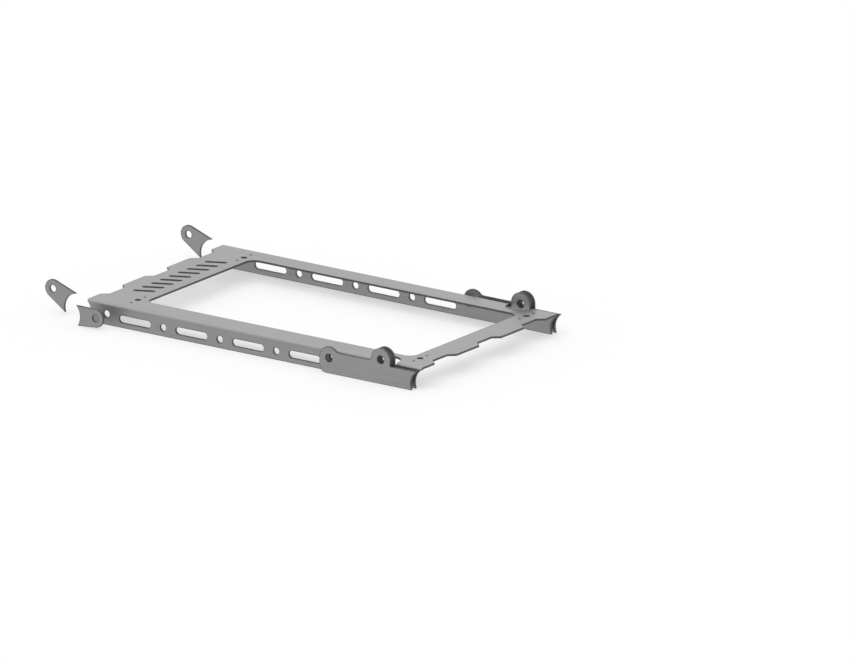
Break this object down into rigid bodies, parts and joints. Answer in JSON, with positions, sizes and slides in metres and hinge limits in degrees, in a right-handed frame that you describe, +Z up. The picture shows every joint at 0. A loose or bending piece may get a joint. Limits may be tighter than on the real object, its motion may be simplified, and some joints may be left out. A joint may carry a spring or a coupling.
{
  "type": "seat mount",
  "caption": "Weld-in seat mount: a windowed folded sheet frame with coped ends and belt ears, with loose coped ear plates and tabs set where they are welded.",
  "frame": {"origin": "middle of the four seat bolts, on the top face of the folded sheet", "axes": "+X to the rear of the seat, +Y to the sitter's right, +Z up out of the seat face"},
  "size_m": [0.7149, 0.4015, 0.0572],
  "materials": {
    "frame_steel": "bare cold-rolled mild steel sheet, matt, with laser-cut edges",
    "plate_steel": "bare cold-rolled mild steel plate, matt, with laser-cut edges"
  },
  "bodies": {
    "root": {"seat_frame": "frame_steel", "ear_plate_left": "plate_steel", "ear_plate_right": "plate_steel", "front_tab_left": "plate_steel", "front_tab_right": "plate_steel", "side_tab_left": "plate_steel"}
  },
  "joints": []
}
